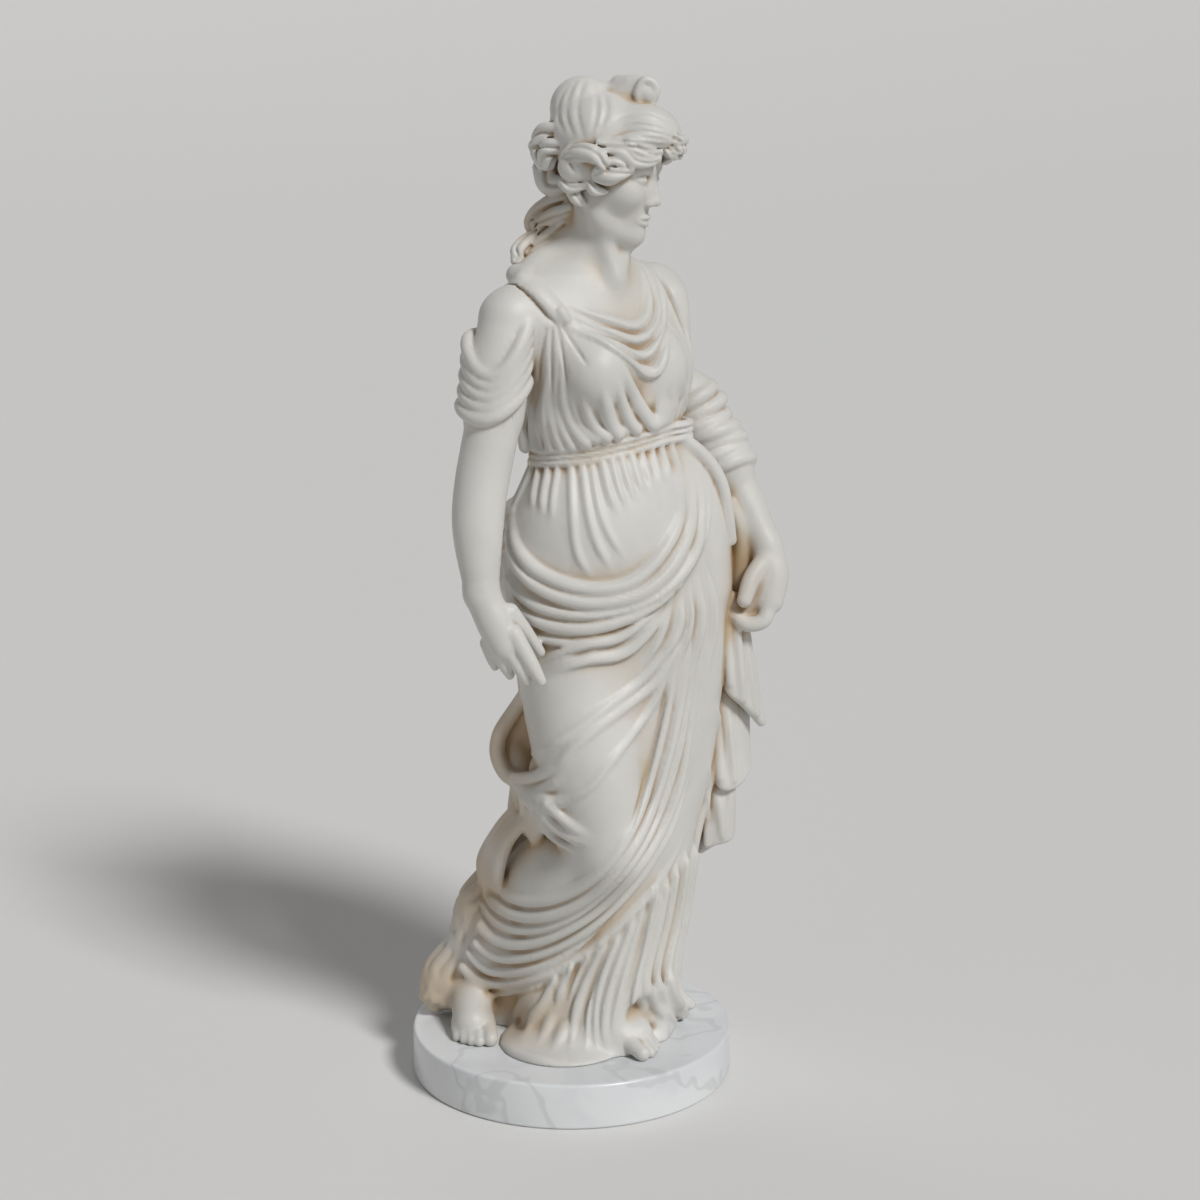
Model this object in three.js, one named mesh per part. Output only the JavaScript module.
// Draped maiden: a life-size figure carved from one block of white marble, on a round marble plinth.
// Millimetres, +Z up. The origin is the centre of the plinth's underside and -Y is the main viewing side.
// The figure is worked as clay: soft solids are blended into a grid of distances, folds are laid on its
// surface, and the skin of the grid becomes one closed mesh.

import * as THREE from "three";

// Driving dimensions
const PLINTH_RADIUS = 280;
const PLINTH_HEIGHT = 80;
const PLINTH_ROUNDING = 6;
const PLINTH_SIDES = 64;
const SEAT_GAP = 0.3;
const FIGURE_FLOOR = PLINTH_HEIGHT + SEAT_GAP;

// The block that the figure is carved from, and how finely
const BLOCK_LOW = [-300, -240, 56];
const BLOCK_HIGH = [396, 224, 1752];
const GRAIN = 8;
const FIGURE_TRIANGLES = 9100;
const FAR = 1000;
const LEAST_AGREEMENT = 0.2;
const SIGHT_REACH = 420;

// How each part of the body is turned from the viewing side, in degrees towards +X
const FOOT_RIGHT_TURN = 8;
const FOOT_LEFT_TURN = 42;
const CHEST_TURN = 38;
const HEAD_TURN = 70;
const HEAD_BOW = 12;

// Landmarks of the figure
const SHOULDER_RIGHT = [-96, -92, 1332];
const SHOULDER_LEFT = [144, 98, 1352];
const ELBOW_RIGHT = [-144, -138, 1062];
const ELBOW_LEFT = [206, 128, 1120];
const WRIST_RIGHT = [-143, -168, 896];
const WRIST_LEFT = [336, 62, 926];
const HIP_RIGHT = [6, -25, 880];
const KNEE_RIGHT = [66, -140, 452];
const ANKLE_RIGHT = [-178, 40, 165];
const FOOT_RIGHT = [-176, -22, FIGURE_FLOOR];
const FOOT_LEFT = [76, -88, FIGURE_FLOOR];
const NECK_BASE = [36, 6, 1388];
const HEAD_CENTRE = [64, -14, 1576];
const HEAD_SCALE = 1.06;
const WAIST = [60, 0, 1112];
const BELT_SLOPE = 0.2;
const NECK_ROOT = [38, 4, 1422];
const BUN_CENTRE = [22, 4, 1664];
const LOCK_RISE = 15;
const BELT_LINES = [-12, 12];
const BELT_THICKNESS = 13;

const degrees = THREE.MathUtils.degToRad;
const { lerp, clamp } = THREE.MathUtils;

// Paths and shapes

// A smooth line through points of any number of coordinates.
function smoothLine(points, steps) {
  const spans = points.length - 1;
  const at = (k) => {
    if (k < 0) return points[0].map((v, i) => 2 * v - points[1][i]);
    if (k > spans) return points[spans].map((v, i) => 2 * v - points[spans - 1][i]);
    return points[k];
  };
  return Array.from({ length: steps + 1 }, (_, i) => {
    const whole = Math.min(Math.floor((i * spans) / steps), spans - 1);
    const t = (i * spans) / steps - whole;
    const [a, b, c, d] = [at(whole - 1), at(whole), at(whole + 1), at(whole + 2)];
    return b.map((_, n) => {
      const bend = 2 * a[n] - 5 * b[n] + 4 * c[n] - d[n];
      const twist = -a[n] + 3 * b[n] - 3 * c[n] + d[n];
      return b[n] + 0.5 * t * (c[n] - a[n] + t * (bend + t * twist));
    });
  });
}

// A round bar along a path of [x, y, z, radius], straight from one point to the next.
function bar(path) {
  return { parts: path.slice(1).map((end, i) => segment(path[i], end)) };
}

function segment(start, end) {
  const [ax, ay, az, ar] = start;
  const [ux, uy, uz, grow] = end.map((v, n) => v - start[n]);
  const square = ux * ux + uy * uy + uz * uz + 1e-9;
  return {
    low: [0, 1, 2].map((n) => Math.min(start[n] - ar, end[n] - end[3])),
    high: [0, 1, 2].map((n) => Math.max(start[n] + ar, end[n] + end[3])),
    distance(x, y, z) {
      const [px, py, pz] = [x - ax, y - ay, z - az];
      const h = clamp((px * ux + py * uy + pz * uz) / square, 0, 1);
      return Math.sqrt((px - h * ux) ** 2 + (py - h * uy) ** 2 + (pz - h * uz) ** 2) - ar - h * grow;
    },
  };
}

const limb = (points) => bar(smoothLine(points, 5 * (points.length - 1)));

// A body of turned ellipses stacked up, each [height, x, y, half width, half depth, turn].
function stack(sections) {
  const rows = smoothLine(sections, 12 * (sections.length - 1));
  const widest = Math.max(...rows.map((s) => Math.max(s[3], s[4])));
  const centres = (n) => rows.map((s) => s[n]);
  const top = Math.max(rows[0][0], rows.at(-1)[0]);
  const bottom = Math.min(rows[0][0], rows.at(-1)[0]);
  const find = (z) => {
    const i = clamp(rows.findIndex((s) => s[0] <= z), 1, rows.length - 1);
    const t = clamp((z - rows[i - 1][0]) / (rows[i][0] - rows[i - 1][0]), 0, 1);
    return rows[i].map((v, n) => lerp(rows[i - 1][n], v, t));
  };
  let known = { z: NaN, section: null };
  return {
    low: [Math.min(...centres(1)) - widest, Math.min(...centres(2)) - widest, bottom],
    high: [Math.max(...centres(1)) + widest, Math.max(...centres(2)) + widest, top],
    distance(x, y, z) {
      if (known.z !== z) known = { z, section: find(z) };
      const [, cx, cy, width, depth, turn] = known.section;
      const [c, s] = [Math.cos(degrees(turn)), Math.sin(degrees(turn))];
      const u = (x - cx) * c + (y - cy) * s;
      const v = (y - cy) * c - (x - cx) * s;
      return Math.max(roundGap([u, v, 0], [width, depth, 1]), z - top, bottom - z);
    },
  };
}

// Nearly the distance from a point to an ellipsoid about the origin.
function roundGap(point, radii) {
  const share = Math.hypot(...point.map((v, n) => v / radii[n]));
  const slope = Math.hypot(...point.map((v, n) => v / radii[n] ** 2));
  return slope < 1e-9 ? -Math.min(...radii) : (share * (share - 1)) / slope;
}

// An ellipsoid with its radii along a frame's axes.
function ellipsoid(frame, radii) {
  const back = frame.clone().invert();
  const centre = new THREE.Vector3().setFromMatrixPosition(frame).toArray();
  const reach = Math.max(...radii);
  const p = new THREE.Vector3();
  return {
    low: centre.map((v) => v - reach),
    high: centre.map((v) => v + reach),
    distance: (x, y, z) => roundGap(p.set(x, y, z).applyMatrix4(back).toArray(), radii),
  };
}

// A frame whose axes are forward, to the figure's left and up, for a part turned and bowed.
function facing(centre, turn, bow = 0) {
  const [t, b] = [degrees(turn), degrees(bow)];
  const forward = new THREE.Vector3(Math.sin(t) * Math.cos(b), -Math.cos(t) * Math.cos(b), -Math.sin(b));
  const left = new THREE.Vector3(Math.cos(t), Math.sin(t), 0);
  const up = new THREE.Vector3().crossVectors(forward, left);
  return new THREE.Matrix4().makeBasis(forward, left, up).setPosition(...centre);
}

// Points given forward, left and up in a frame, with any radius kept.
function inFrame(frame, points) {
  return points.map(([a, b, c, ...rest]) => [
    ...new THREE.Vector3(a, b, c).applyMatrix4(frame).toArray(),
    ...rest,
  ]);
}

const headFrame = facing(HEAD_CENTRE, HEAD_TURN, HEAD_BOW);
headFrame.scale(new THREE.Vector3().setScalar(HEAD_SCALE));

// The block of clay

class Clay {
  constructor(low, high, step) {
    Object.assign(this, { low, step });
    this.size = low.map((v, n) => Math.round((high[n] - v) / step) + 1);
    const cells = this.size[0] * this.size[1] * this.size[2];
    this.field = new Float32Array(cells).fill(FAR);
    this.nearest = new Float32Array(cells).fill(Infinity);
  }

  index(i, j, k) {
    return (k * this.size[1] + j) * this.size[0] + i;
  }

  // Changes every grid value within a margin of a shape, by its distance to the shape's nearest part.
  work(shape, margin, change) {
    const touched = [];
    for (const part of shape.parts ?? [shape]) {
      const [i0, j0, k0] = part.low.map((v, n) => this.cellOf(v - margin, n, Math.floor));
      const [i1, j1, k1] = part.high.map((v, n) => this.cellOf(v + margin, n, Math.ceil));
      for (let k = k0; k <= k1; k++) {
        for (let j = j0; j <= j1; j++) {
          for (let i = i0; i <= i1; i++) {
            const [x, y, z] = [i, j, k].map((cell, n) => this.low[n] + cell * this.step);
            const gap = part.distance(x, y, z);
            const at = this.index(i, j, k);
            if (this.nearest[at] === Infinity) touched.push(at);
            if (gap < this.nearest[at]) this.nearest[at] = gap;
          }
        }
      }
    }
    for (const at of touched) {
      this.field[at] = change(this.field[at], this.nearest[at]);
      this.nearest[at] = Infinity;
    }
  }

  cellOf(v, n, rounded) {
    return clamp(rounded((v - this.low[n]) / this.step), 0, this.size[n] - 1);
  }

  blend(shape, softness) {
    this.work(shape, 3 * this.step + softness, (old, gap) => softMin(old, gap, softness));
  }

  carve(shape, softness) {
    this.work(shape, 3 * this.step + softness, (old, gap) => -softMin(-old, gap, softness));
  }

  // Cuts the clay off flat at a height.
  cutBelow(height) {
    for (let at = 0; at < this.field.length; at++) {
      const z = this.low[2] + this.step * Math.floor(at / (this.size[0] * this.size[1]));
      this.field[at] = Math.max(this.field[at], height - z);
    }
  }

  // Every grid point joined to a first one through points of the same kind.
  spread(first, belongs) {
    const strides = [1, this.size[0], this.size[0] * this.size[1]];
    const steps = [1, 2, 3, 4, 5, 6, 7].map((mask) => offset(strides, mask));
    const seen = new Uint8Array(this.field.length);
    const queue = [first];
    while (queue.length) {
      const at = queue.pop();
      if (seen[at] || !belongs(this.field[at])) continue;
      seen[at] = 1;
      for (const step of steps) queue.push(at + step, at - step);
    }
    return seen;
  }

  // Fills sealed hollows and drops loose crumbs, so that the clay is one solid body.
  settle(heart) {
    const air = this.spread(0, (gap) => gap >= 0);
    this.field.forEach((gap, at) => {
      if (gap >= 0 && !air[at]) this.field[at] = -1;
    });
    const [i, j, k] = heart.map((v, n) => this.cellOf(v, n, Math.round));
    const body = this.spread(this.index(i, j, k), (gap) => gap < 0);
    this.field.forEach((gap, at) => {
      if (gap < 0 && !body[at]) this.field[at] = 1;
    });
  }

  valueAt(...point) {
    const g = point.map((v, n) => clamp((v - this.low[n]) / this.step, 0, this.size[n] - 1.001));
    const [i, j, k] = g.map(Math.floor);
    const [u, v, w] = [g[0] - i, g[1] - j, g[2] - k];
    const row = (b, c) => lerp(this.field[this.index(i, b, c)], this.field[this.index(i + 1, b, c)], u);
    return lerp(lerp(row(j, k), row(j + 1, k), v), lerp(row(j, k + 1), row(j + 1, k + 1), v), w);
  }

  // Where a level line of sight from an azimuth meets the clay, or comes closest to it.
  meet(side, height, azimuth) {
    const [s, c] = [Math.sin(degrees(azimuth)), -Math.cos(degrees(azimuth))];
    let closest = { gap: Infinity, out: 0 };
    for (let out = SIGHT_REACH; out > -SIGHT_REACH; out -= this.step / 2) {
      const gap = this.valueAt(-side * c + out * s, side * s + out * c, height);
      if (gap < closest.gap) closest = { gap, out };
      if (gap < 0) break;
    }
    return [-side * c + closest.out * s, side * s + closest.out * c, height];
  }
}

// How far along the grid a cube's corner lies, for a corner with one bit for each axis.
function offset(strides, corner) {
  return strides.reduce((sum, stride, n) => sum + (corner & (1 << n) ? stride : 0), 0);
}

function softMin(a, b, softness) {
  const h = Math.max(softness - Math.abs(a - b), 0) / softness;
  return Math.min(a, b) - (h * h * softness) / 4;
}

// Folds

// A fold laid along a line of [side, height] as seen from an azimuth, thinner towards its ends.
function foldOn(clay, line, { azimuth = 0, radius, ends = [0.5, 0.5], sink = 0.35 }) {
  const flat = smoothLine(line, 6 * (line.length - 1));
  const raw = flat.map(([side, height]) => clay.meet(side, height, azimuth));
  const inward = [-Math.sin(degrees(azimuth)), Math.cos(degrees(azimuth))];
  return bar(
    raw.map((p, i) => {
      const [before, after] = [raw[Math.max(i - 1, 0)], raw[Math.min(i + 1, raw.length - 1)]];
      const [x, y, z] = p.map((v, n) => 0.25 * before[n] + 0.5 * v + 0.25 * after[n]);
      const t = i / (raw.length - 1);
      const full = Math.min(1, lerp(ends[0], 1, 4 * t), lerp(ends[1], 1, 4 * (1 - t)));
      const r = radius * full;
      const deep = radius * (sink + 0.8 * (1 - full));
      return [x + inward[0] * deep, y + inward[1] * deep, z, r];
    }),
  );
}

// A family of folds spread evenly between a first and a last line.
function folds(clay, first, last, count, style) {
  const laid = Array.from({ length: count }, (_, i) => {
    const t = count > 1 ? i / (count - 1) : 0;
    const line = first.map((p, k) => p.map((v, n) => lerp(v, last[k][n], t)));
    const radius = style.radius * (1 + 0.15 * Math.sin(2.4 * i));
    return foldOn(clay, line, { ...style, radius });
  });
  for (const fold of laid) clay.blend(fold, style.softness ?? style.radius);
}

// A ring of cloth around a bar-like part: from one side of it to the other, sagging in the middle.
function ring(centre, across, out, sag, radius) {
  const points = [];
  for (let angle = -180; angle <= 180; angle += 30) {
    const [c, s] = [Math.cos(degrees(angle)), Math.sin(degrees(angle))];
    const drop = 0.5 * sag * (1 - c);
    points.push([
      centre[0] - across[0] * s - out[0] * c,
      centre[1] - across[1] * s - out[1] * c,
      centre[2] + sag / 2 - drop - across[2] * s - out[2] * c,
      radius,
    ]);
  }
  return bar(points);
}

// The body

function torso(clay) {
  const trunk = [
    [1428, 38, 4, 50, 48, CHEST_TURN],
    [1394, 33, 2, 112, 60, CHEST_TURN],
    [1350, 34, 0, 156, 82, CHEST_TURN],
    [1290, 46, 0, 150, 96, CHEST_TURN],
    [1230, 56, 0, 138, 98, 37],
    [1165, 60, 0, 126, 96, 35],
    [1110, 60, 0, 114, 90, 32],
    [1060, 64, -4, 142, 112, 30],
    [1000, 66, -6, 172, 132, 28],
    [930, 70, -6, 186, 142, 26],
    [850, 80, -5, 188, 142, 23],
    [760, 88, 0, 176, 138, 18],
    [667, 92, 4, 164, 130, 14],
    [560, 96, 8, 148, 124, 10],
    [440, 98, 10, 118, 114, 5],
    [330, 94, 8, 104, 116, 0],
    [220, 82, 0, 102, 126, 0],
    [140, 70, -8, 112, 142, 0],
    [56, 58, -14, 132, 160, 0],
  ];
  clay.blend(stack(trunk), 1);
  const chest = facing([56, 0, 1244], CHEST_TURN);
  for (const side of [-72, 58]) {
    const [centre] = inFrame(chest, [[78, side, 0]]);
    clay.blend(ellipsoid(facing(centre, CHEST_TURN), [54, 56, 60]), 30);
  }
  clay.blend(ellipsoid(facing([64, -58, 985], 15), [94, 116, 112]), 40);
  clay.blend(limb([[168, 8, 1108, 34], [196, 24, 1040, 48], [214, 30, 960, 54], [222, 30, 870, 54]]), 24);
}

function neck(clay) {
  clay.blend(limb([[...NECK_BASE, 56], [45, 0, 1450, 46], [54, -6, 1530, 48]]), 30);
  const [rootX, rootY] = NECK_ROOT;
  for (const [x, y, z] of [SHOULDER_RIGHT, SHOULDER_LEFT]) {
    const slope = [lerp(rootX, x, 0.8), lerp(rootY, y, 0.8), z + 24, 26];
    const inner = [lerp(x, rootX, 0.3), lerp(y, 0, 0.3), z - 10, 50];
    clay.blend(limb([[...NECK_ROOT, 26], slope]), 40);
    clay.blend(limb([[x, y, z, 50], inner]), 30);
  }
}

function legs(clay) {
  clay.blend(limb([[...HIP_RIGHT, 110], [24, -104, 640, 94], [...KNEE_RIGHT, 62]]), 30);
  clay.blend(limb([[62, -134, 448, 58], [0, -84, 356, 68], [-86, -14, 262, 64], [...ANKLE_RIGHT, 48]]), 30);
  clay.blend(limb([[110, -50, 640, 66], [122, -66, 500, 56], [84, -74, 400, 52], [20, -60, 320, 52]]), 30);
  clay.blend(limb([[20, -20, 330, 76], [-30, -40, 210, 60], [-30, -60, 90, 56]]), 60);
}

function feet(clay) {
  const right = facing(FOOT_RIGHT, FOOT_RIGHT_TURN);
  const left = facing(FOOT_LEFT, FOOT_LEFT_TURN);
  for (const [frame, mirror] of [[right, 1], [left, -1]]) {
    clay.blend(limb(inFrame(frame, [[-100, 0, 36, 34], [-10, 0, 46, 38], [60, 0, 22, 30]])), 24);
    for (let toe = 0; toe < 5; toe++) {
      const across = mirror * (30 - 15 * toe);
      const tip = 104 - 3 * toe - 2 * toe * toe;
      const r = toe ? 9 : 13;
      clay.blend(limb(inFrame(frame, [[50, 0.8 * across, 18, r + 4], [tip, across, r - 1, r]])), 8);
    }
  }
}

function arms(clay) {
  const right = [
    [...SHOULDER_RIGHT, 49],
    [-106, -110, 1270, 48],
    [-124, -126, 1166, 45],
    [...ELBOW_RIGHT, 44],
    [-149, -150, 990, 41],
    [...WRIST_RIGHT, 28],
  ];
  const left = [
    [...SHOULDER_LEFT, 48],
    [156, 120, 1250, 42],
    [...ELBOW_LEFT, 42],
    [282, 98, 1024, 37],
    [...WRIST_LEFT, 26],
  ];
  for (const arm of [right, left]) clay.blend(limb(arm), 12);
}

function hands(clay) {
  clay.blend(limb([[...WRIST_RIGHT, 26], [-128, -172, 850, 31], [-116, -176, 806, 30]]), 14);
  for (let finger = 0; finger < 4; finger++) {
    const t = finger / 3;
    const knuckle = [lerp(-90, -138, t), lerp(-184, -160, t), 806, 12];
    const middle = [lerp(-66, -140, t), lerp(-190, -160, t), lerp(776, 786, t), 11];
    const tip = [lerp(-44, -134, t), lerp(-186, -154, t), lerp(750, 772, t), 9];
    clay.blend(limb([knuckle, middle, tip]), 8);
  }
  clay.blend(limb([[-112, -166, 862, 15], [-76, -178, 832, 13], [-50, -176, 802, 10]]), 10);

  clay.blend(limb([[...WRIST_LEFT, 25], [346, 46, 880, 28], [340, 32, 836, 25]]), 14);
  for (let finger = 0; finger < 4; finger++) {
    const far = 13 * finger;
    clay.blend(
      limb([
        [338, 26 + far, 838, 14],
        [330, 14 + far, 806, 14],
        [302, 12 + far, 798, 13],
        [280, 20 + far, 812, 12],
      ]),
      8,
    );
  }
  clay.blend(limb([[330, 44, 904, 16], [308, 24, 880, 15], [298, 12, 846, 13]]), 10);
}

// The head

function head(clay) {
  const place = (a, b, c, radii) => {
    const [centre] = inFrame(headFrame, [[a, b, c]]);
    return ellipsoid(facing(centre, HEAD_TURN, HEAD_BOW), radii);
  };
  const put = (points) => limb(inFrame(headFrame, points));
  clay.blend(place(-10, 0, 30, [88, 72, 74]), 20);
  clay.blend(place(26, 0, -34, [56, 56, 70]), 24);
  for (const side of [-1, 1]) {
    clay.blend(put([[4, 50 * side, -40, 18], [34, 40 * side, -80, 16], [66, 8 * side, -96, 17]]), 24);
    clay.carve(place(88, 30 * side, -4, [14, 19, 12]), 14);
    clay.blend(place(68, 30 * side, -6, [14, 15, 12]), 4);
  }
  clay.blend(put([[82, 0, 6, 9], [93, 0, -24, 9], [99, 0, -40, 10]]), 12);
  clay.blend(put([[80, -18, -64, 7], [87, 0, -62, 9], [80, 18, -64, 7]]), 8);
  clay.blend(put([[76, 0, -96, 18], [72, 0, -100, 18]]), 16);
}

function hair(clay) {
  const put = (points) => limb(inFrame(headFrame, points));
  const [cap] = inFrame(headFrame, [[-24, 0, 36]]);
  clay.blend(ellipsoid(facing(cap, HEAD_TURN, HEAD_BOW), [90, 80, 78]), 12);
  clay.blend(ellipsoid(facing(BUN_CENTRE, HEAD_TURN), [52, 50, 52]), 12);
  for (const side of [-1, 1]) {
    for (let lock = 0; lock < 4; lock++) {
      const lift = LOCK_RISE * lock;
      clay.blend(
        put([
          [80 - lift, 4 * side, 60 + 0.7 * lift, 10],
          [66 - lift, 40 * side, 46 + lift, 11],
          [36 - lift, 66 * side, 24 + lift, 12],
          [-4 - lift, 78 * side - 3 * side * lock, 6 + lift, 13],
        ]),
        8,
      );
    }
    clay.blend(
      put([
        [22, 68 * side, 4, 10],
        [-4, 80 * side, -16, 14],
        [-34, 78 * side, -12, 15],
        [-44, 70 * side, 14, 14],
        [-22, 80 * side, 22, 12],
      ]),
      6,
    );
  }
  clay.blend(put([[-96, -6, 34, 24], [-106, 4, 8, 26], [-94, 6, -20, 24]]), 8);
  clay.blend(put([[-62, 0, -36, 24], [-50, 4, -58, 22]]), 10);
  clay.blend(limb([[-16, 4, 1540, 24], [-36, 0, 1494, 23], [-48, -14, 1456, 21], [-84, -40, 1424, 13]]), 12);
  for (const far of [0, 30]) {
    clay.blend(
      limb([
        [98, -8 + far / 2, 1666, 16],
        [84, -14 + far, 1696, 18],
        [104, -20 + far, 1704, 17],
        [130, -24 + far, 1698, 15],
        [124, -12 + far / 2, 1664, 13],
      ]),
      10,
    );
  }
}

// The dress

function bodice(clay) {
  const strap = [[-112, 1392], [-62, 1378], [-16, 1336]];
  const strapTop = strap.map(([side, height]) => [side + 10, height + 20]);
  folds(clay, strap, strapTop, 2, { radius: 14, ends: [1, 0.7], softness: 12 });
  const cowlTop = [[3, 1362], [50, 1338], [91, 1326], [119, 1352], [122, 1402]];
  const cowlBottom = [[-5, 1331], [50, 1293], [123, 1229], [157, 1283], [156, 1376]];
  folds(clay, cowlTop, cowlBottom, 5, { radius: 14, ends: [0.4, 0.8], sink: 0, softness: 6 });
  const sideTop = [[-44, 1300], [-64, 1200], [-76, 1128]];
  const sideEnd = [[-22, 1300], [-22, 1196], [-14, 1128]];
  folds(clay, sideTop, sideEnd, 4, { radius: 14, ends: [0.3, 1.2], sink: 0, softness: 6 });
  const breastTop = [[16, 1220], [18, 1170], [30, 1132]];
  const breastEnd = [[80, 1290], [112, 1219], [150, 1162]];
  folds(clay, breastTop, breastEnd, 5, { radius: 14, ends: [0.2, 1.2], sink: 0, softness: 6 });
}

function belt(clay) {
  const [x, y, z] = WAIST;
  for (const lift of BELT_LINES) {
    const path = [];
    for (let angle = 0; angle <= 360; angle += 15) {
      const side = x * Math.cos(degrees(angle)) + y * Math.sin(degrees(angle));
      const [px, py] = clay.meet(side, z + lift, angle);
      path.push([px, py, z + lift + BELT_SLOPE * (px - x), BELT_THICKNESS]);
    }
    clay.blend(bar(path), 6);
  }
}

function bellyPleats(clay) {
  const style = { radius: 9, ends: [1, 0.2], sink: 0.2, softness: 7 };
  const left = [[-34, 1082], [-50, 1030], [-54, 985]];
  const middle = [[46, 1086], [40, 1000], [66, 926]];
  folds(clay, left, middle, 5, style);
  const next = [[64, 1090], [72, 1010], [114, 945]];
  const right = [[162, 1116], [186, 1066], [200, 1030]];
  folds(clay, next, right, 6, style);
}

function hipRoll(clay) {
  const top = [
    ...[[-84, 1050], [-96, 985], [-60, 932], [24, 908]],
    ...[[115, 932], [173, 979], [196, 1028], [180, 1100]],
  ];
  const bottom = [
    ...[[-118, 960], [-100, 868], [-26, 820], [66, 826]],
    ...[[149, 872], [199, 934], [222, 993], [200, 1090]],
  ];
  folds(clay, top, bottom, 4, { radius: 20, ends: [0.6, 0.5], sink: 0, softness: 8 });
}

function apron(clay) {
  const thighTop = [[190, 860], [150, 768], [76, 700], [7, 640], [-70, 586]];
  const thighBottom = [[196, 820], [150, 690], [84, 580], [20, 510], [-30, 476]];
  folds(clay, thighTop, thighBottom, 3, { radius: 12, ends: [0.6, 0.5], sink: 0.3, softness: 14 });
  const inner = [[196, 800], [146, 624], [112, 476], [72, 396], [-10, 330], [-110, 300], [-166, 330]];
  const hem = [[250, 783], [234, 574], [204, 424], [118, 324], [-1, 225], [-105, 160], [-196, 170]];
  folds(clay, inner, hem, 8, { radius: 16, ends: [0.3, 0.9], sink: 0, softness: 6 });
}

function skirtPleats(clay) {
  const left = [[-30, 200], [-66, 130], [-94, 84]];
  const right = [[214, 400], [198, 230], [216, 90]];
  folds(clay, left, right, 10, { radius: 16, ends: [0.6, 1.1], sink: 0, softness: 6 });
  for (const azimuth of [90, 145, 200, 250]) {
    const first = [[-90, 900], [-80, 480], [-110, 90]];
    const last = [[90, 900], [80, 480], [110, 90]];
    folds(clay, first, last, 4, { azimuth, radius: 20, ends: [0.3, 1], sink: 0.2, softness: 16 });
  }
}

function rearCloth(clay) {
  clay.blend(limb([[-30, 20, 760, 46], [-50, 20, 600, 52], [-60, 24, 440, 52], [-110, 40, 300, 48]]), 40);
  clay.blend(limb([[-110, 40, 300, 48], [-160, 50, 200, 42], [-212, 50, 120, 36]]), 30);
  const loops = [
    [
      ...[[-66, -60, 740, 18], [-100, -34, 650, 22], [-114, -40, 588, 22]],
      ...[[-80, -88, 548, 20], [-10, -140, 560, 12]],
    ],
    [[-84, -54, 560, 18], [-84, -78, 520, 20], [-46, -118, 500, 18], [20, -150, 530, 10]],
    [[-62, -100, 510, 16], [-54, -118, 470, 20], [-42, -124, 440, 13]],
    [[-40, -116, 492, 13], [10, -134, 450, 13], [56, -150, 428, 10]],
    [[-60, -70, 480, 18], [-112, -30, 440, 24], [-144, -6, 366, 26], [-134, -10, 300, 22]],
    [[-130, 10, 320, 24], [-180, 26, 256, 26], [-202, 34, 180, 28], [-250, 36, 112, 30]],
    [[-150, 40, 290, 22], [-190, 54, 230, 22], [-212, 58, 150, 24], [-228, 66, 100, 26]],
  ];
  for (const path of loops) clay.blend(limb(path), 12);
}

function cascade(clay) {
  const hems = [[312, 108, 604], [300, 100, 520], [280, 92, 440], [252, 84, 392]];
  hems.forEach(([x, y, z], i) => {
    const t = i / (hems.length - 1);
    const top = [lerp(296, 236, t), lerp(60, 66, t), lerp(836, 900, t), 18];
    clay.blend(limb([top, [lerp(top[0], x, 0.6), y - 10, lerp(870, z, 0.6), 22], [x, y, z, 22]]), 14);
  });
  clay.blend(limb([[236, 66, 1000, 30], [250, 74, 880, 36], [262, 86, 700, 34], [266, 90, 520, 26]]), 24);
  clay.blend(limb([[190, 20, 1124, 16], [236, 36, 1070, 18], [262, 50, 990, 20], [276, 52, 936, 18]]), 12);
}

function sleeves(clay) {
  for (let row = 0; row < 5; row++) {
    const z = 1262 - 23 * row;
    const x = -112 - 0.06 * (1262 - z);
    clay.blend(ring([x + 4, -116, z], [40, 30, 0], [30, -40, 0], 44 - 4 * row, 15), 6);
  }
  for (let row = 0; row < 5; row++) {
    const t = row / 4;
    const start = [lerp(186, 240, t), lerp(58, 62, t), lerp(1140, 1012, t), 14];
    const end = [lerp(222, 284, t), lerp(122, 98, t), lerp(1182, 1082, t), 15];
    const crest = [lerp(start[0], end[0], 0.55), lerp(74, 56, t), lerp(1180, 1066, t), 15];
    const behind = [end[0] - 26, end[1] + 44, end[2] - 20, 14];
    clay.blend(limb([start, crest, end, behind]), 6);
  }
}

// From clay to mesh

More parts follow.
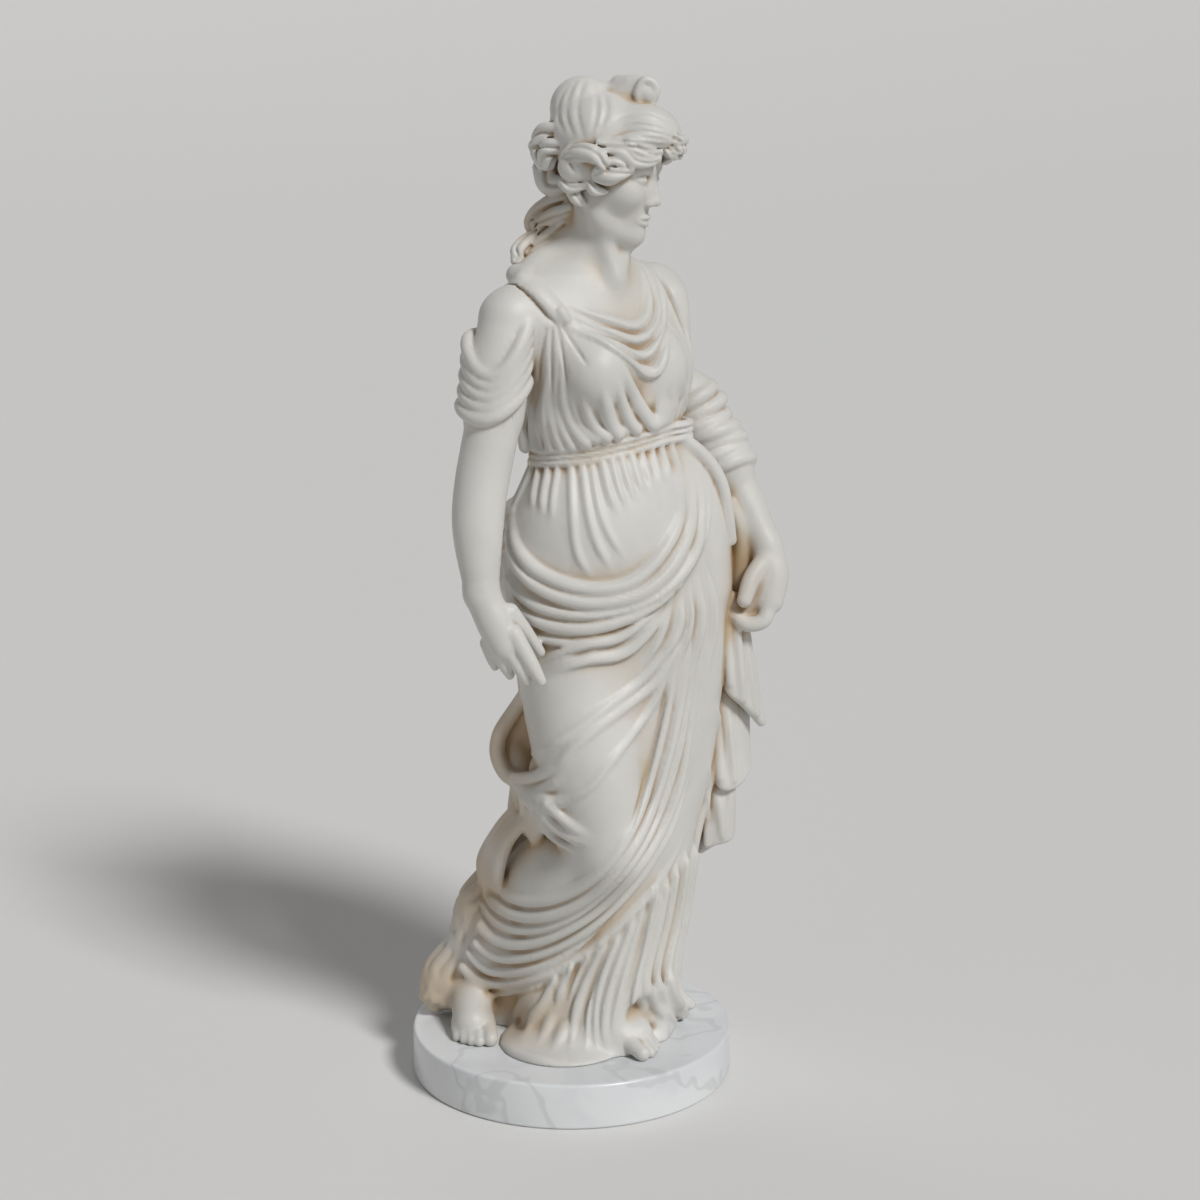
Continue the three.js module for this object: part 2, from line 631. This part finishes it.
// The skin of the clay, cell by cell: each cube is six tetrahedra around its long diagonal.
function skin(clay) {
  const points = [];
  const triangles = [];
  const known = new Map();
  const [nx, ny] = clay.size;
  const strides = [1, nx, nx * ny];
  const corners = [0, 1, 2, 3, 4, 5, 6, 7].map((corner) => offset(strides, corner));
  const turns = [[1, 2], [2, 4], [4, 1], [2, 1], [1, 4], [4, 2]];
  const tetrahedra = turns.map(([a, b], i) => ({ tips: [0, a, a + b, 7], sign: i < 3 ? 1 : -1 }));
  const pointOn = (cell, a, b) => {
    const [from, to] = a < b ? [a, b] : [b, a];
    const start = cell + corners[from];
    const key = start * 8 + (to - from);
    if (!known.has(key)) {
      const [f, g] = [clay.field[start], clay.field[cell + corners[to]]];
      const t = clamp(f / (f - g), 0.02, 0.98);
      const grid = [start % nx, Math.floor(start / nx) % ny, Math.floor(start / (nx * ny))];
      known.set(key, points.length);
      points.push(grid.map((v, n) => clay.low[n] + clay.step * (v + ((to - from) & (1 << n) ? t : 0))));
    }
    return known.get(key);
  };
  const parity = (order) => {
    let sign = 1;
    for (let i = 0; i < 4; i++) {
      for (let j = 0; j < i; j++) {
        if (order[j] > order[i]) sign = -sign;
      }
    }
    return sign;
  };
  const closeCell = (cell) => {
    for (const { tips, sign } of tetrahedra) {
      const isIn = tips.map((m) => clay.field[cell + corners[m]] < 0);
      const order = [0, 1, 2, 3].sort((a, b) => isIn[b] - isIn[a] || a - b);
      const count = isIn.filter(Boolean).length;
      if (count === 0 || count === 4) continue;
      const [a, b, c, d] = order.map((n) => tips[n]);
      const on = (p, q) => pointOn(cell, p, q);
      const faces = {
        1: () => [[on(a, b), on(a, c), on(a, d)]],
        2: () => [[on(a, c), on(a, d), on(b, d)], [on(a, c), on(b, d), on(b, c)]],
        3: () => [[on(d, a), on(d, b), on(d, c)]],
      }[count]();
      const turned = sign * parity(order) < 0;
      for (const [p, q, r] of faces) triangles.push(turned ? [p, r, q] : [p, q, r]);
    }
  };
  for (let k = 0; k + 1 < clay.size[2]; k++) {
    for (let j = 0; j + 1 < ny; j++) {
      for (let i = 0; i + 1 < nx; i++) {
        const cell = clay.index(i, j, k);
        const inside = corners.filter((corner) => clay.field[cell + corner] < 0).length;
        if (inside > 0 && inside < 8) closeCell(cell);
      }
    }
  }
  return { points, triangles };
}

// Joins neighbouring points, cheapest first, until the mesh has few enough triangles.
function simplify({ points, triangles }, target) {
  const [X, Y, Z] = [0, 1, 2].map((n) => Float64Array.from(points, (p) => p[n]));
  const quadric = new Float64Array(10 * points.length);
  const around = points.map(() => []);
  const stamp = new Uint32Array(points.length);
  const mark = new Uint32Array(points.length);
  const planes = new THREE.Matrix3();
  const meeting = new THREE.Vector3();
  let tick = 0;

  const normalOf = (t) => {
    const [a, b, c] = t;
    const [ux, uy, uz] = [X[b] - X[a], Y[b] - Y[a], Z[b] - Z[a]];
    const [vx, vy, vz] = [X[c] - X[a], Y[c] - Y[a], Z[c] - Z[a]];
    return [uy * vz - uz * vy, uz * vx - ux * vz, ux * vy - uy * vx];
  };
  const faces = triangles.map((corners) => ({ corners, normal: normalOf(corners), alive: true }));
  for (const face of faces) {
    const [nx, ny, nz] = face.normal;
    const size = Math.hypot(nx, ny, nz) || 1e-12;
    const a = face.corners[0];
    const plane = [nx / size, ny / size, nz / size, -(nx * X[a] + ny * Y[a] + nz * Z[a]) / size];
    for (const v of face.corners) {
      around[v].push(face);
      let slot = 10 * v;
      for (let i = 0; i < 4; i++) {
        for (let j = i; j < 4; j++) quadric[slot++] += size * plane[i] * plane[j];
      }
    }
  }

  // How far a point strays from the planes of all faces joined at u and v.
  const strain = (u, v, x, y, z) => {
    const q = (n) => quadric[10 * u + n] + quadric[10 * v + n];
    const squares = q(0) * x * x + q(4) * y * y + q(7) * z * z + q(9);
    return squares + 2 * (q(1) * x * y + q(2) * x * z + q(3) * x + q(5) * y * z + q(6) * y + q(8) * z);
  };

  const heap = [];
  const push = (entry) => {
    let i = heap.length;
    for (let up = (i - 1) >> 1; i && heap[up].cost > entry.cost; up = (i - 1) >> 1) {
      heap[i] = heap[up];
      i = up;
    }
    heap[i] = entry;
  };
  const pop = () => {
    const top = heap[0];
    const end = heap.pop();
    let i = 0;
    for (let child = 1; child < heap.length; child = 2 * i + 1) {
      if (child + 1 < heap.length && heap[child + 1].cost < heap[child].cost) child++;
      if (heap[child].cost >= end.cost) break;
      heap[i] = heap[child];
      i = child;
    }
    if (heap.length) heap[i] = end;
    return top;
  };
  // The point nearest to all those planes, if they fix one close to the edge.
  const corner = (u, v) => {
    const q = (n) => quadric[10 * u + n] + quadric[10 * v + n];
    planes.set(q(0), q(1), q(2), q(1), q(4), q(5), q(2), q(5), q(7));
    const size = q(0) + q(4) + q(7);
    if (Math.abs(planes.determinant()) < 1e-4 * size ** 3) return null;
    meeting.set(-q(3), -q(6), -q(8)).applyMatrix3(planes.invert());
    const [x, y, z] = meeting.toArray();
    const stray = Math.hypot(x - (X[u] + X[v]) / 2, y - (Y[u] + Y[v]) / 2, z - (Z[u] + Z[v]) / 2);
    const edge = Math.hypot(X[u] - X[v], Y[u] - Y[v], Z[u] - Z[v]);
    return stray < edge ? [x, y, Math.max(z, FIGURE_FLOOR)] : null;
  };
  const offer = (u, v) => {
    const best = { cost: Infinity, u, v, made: stamp[u] + stamp[v], x: 0, y: 0, z: 0 };
    const along = (t) => [lerp(X[u], X[v], t), lerp(Y[u], Y[v], t), lerp(Z[u], Z[v], t)];
    for (const place of [corner(u, v), along(0), along(0.5), along(1)]) {
      if (!place) continue;
      const [x, y, z] = place;
      const cost = strain(u, v, x, y, z);
      if (cost < best.cost) Object.assign(best, { cost, x, y, z });
    }
    push(best);
  };
  const cornersAround = (v) => around[v].flatMap((face) => face.corners);
  const sharedNeighbours = (u, v) => {
    tick += 2;
    const [first, second] = [tick - 1, tick];
    for (const w of cornersAround(u)) mark[w] = first;
    let count = 0;
    for (const w of cornersAround(v)) {
      if (mark[w] === first && w !== u && w !== v) count++;
      mark[w] = second;
    }
    return count;
  };
  const turnsOver = (v, other, x, y, z) => {
    const kept = [X[v], Y[v], Z[v]];
    [X[v], Y[v], Z[v]] = [x, y, z];
    const bad = around[v].some((face) => {
      if (face.corners.includes(other)) return false;
      const [a, b] = [face.normal, normalOf(face.corners)];
      const dot = a[0] * b[0] + a[1] * b[1] + a[2] * b[2];
      return dot < LEAST_AGREEMENT * Math.hypot(...a) * Math.hypot(...b);
    });
    [X[v], Y[v], Z[v]] = kept;
    return bad;
  };

  for (const { corners } of faces) {
    corners.forEach((u, n) => {
      const next = corners[(n + 1) % 3];
      if (u < next) offer(u, next);
    });
  }
  let count = faces.length;
  while (count > target && heap.length) {
    const { u, v, made, x, y, z } = pop();
    if (made !== stamp[u] + stamp[v] || !around[u].length || !around[v].length) continue;
    if (sharedNeighbours(u, v) !== 2 || turnsOver(u, v, x, y, z) || turnsOver(v, u, x, y, z)) continue;
    [X[u], Y[u], Z[u]] = [x, y, z];
    for (let n = 0; n < 10; n++) quadric[10 * u + n] += quadric[10 * v + n];
    for (const face of around[v]) {
      if (face.corners.includes(u)) {
        face.alive = false;
        count--;
      } else {
        face.corners = face.corners.map((w) => (w === v ? u : w));
        around[u].push(face);
      }
    }
    around[v] = [];
    stamp[u]++;
    stamp[v]++;
    for (const w of new Set(cornersAround(u))) around[w] = around[w].filter((face) => face.alive);
    for (const face of around[u]) face.normal = normalOf(face.corners);
    for (const w of new Set(cornersAround(u))) {
      if (w !== u) offer(u, w);
    }
  }

  const used = new Map();
  const kept = faces.filter((face) => face.alive).map((face) => face.corners);
  for (const v of kept.flat()) if (!used.has(v)) used.set(v, used.size);
  return {
    points: [...used.keys()].map((v) => [X[v], Y[v], Z[v]]),
    triangles: kept.map((corners) => corners.map((v) => used.get(v))),
  };
}

function meshGeometry({ points, triangles }) {
  const geometry = new THREE.BufferGeometry();
  geometry.setAttribute("position", new THREE.Float32BufferAttribute(points.flat(), 3));
  geometry.setIndex(triangles.flat());
  geometry.computeVertexNormals();
  return geometry;
}

// The pieces

function figure() {
  const clay = new Clay(BLOCK_LOW, BLOCK_HIGH, GRAIN);
  for (const shape of [torso, neck, legs]) shape(clay);
  for (const shape of [bodice, belt, bellyPleats, hipRoll, apron, skirtPleats]) shape(clay);
  for (const shape of [rearCloth, cascade]) shape(clay);
  for (const shape of [feet, arms, sleeves, hands, head, hair]) shape(clay);
  clay.cutBelow(FIGURE_FLOOR);
  clay.settle(WAIST);
  const marble = new THREE.MeshStandardMaterial({ color: 0xd8d4cb, roughness: 0.55, metalness: 0 });
  const mesh = new THREE.Mesh(meshGeometry(simplify(skin(clay), FIGURE_TRIANGLES)), marble);
  mesh.name = "draped_figure";
  return mesh;
}

function plinth() {
  const [r, h, e] = [PLINTH_RADIUS, PLINTH_HEIGHT, PLINTH_ROUNDING];
  const bevel = e * (1 - Math.SQRT1_2);
  const lower = [[0, 0], [r - e, 0], [r - bevel, bevel], [r, e]];
  const upper = lower.map(([x, y]) => [x, h - y]).reverse();
  const turned = [...lower, ...upper].map(([x, y]) => new THREE.Vector2(x, y));
  const geometry = new THREE.LatheGeometry(turned, PLINTH_SIDES).rotateX(Math.PI / 2);
  const marble = new THREE.MeshStandardMaterial({ color: 0xe2e4e6, roughness: 0.3, metalness: 0 });
  const mesh = new THREE.Mesh(geometry, marble);
  mesh.name = "round_plinth";
  return mesh;
}

const statue = new THREE.Group();
statue.name = "draped_maiden";
statue.add(plinth(), figure());

export default statue;
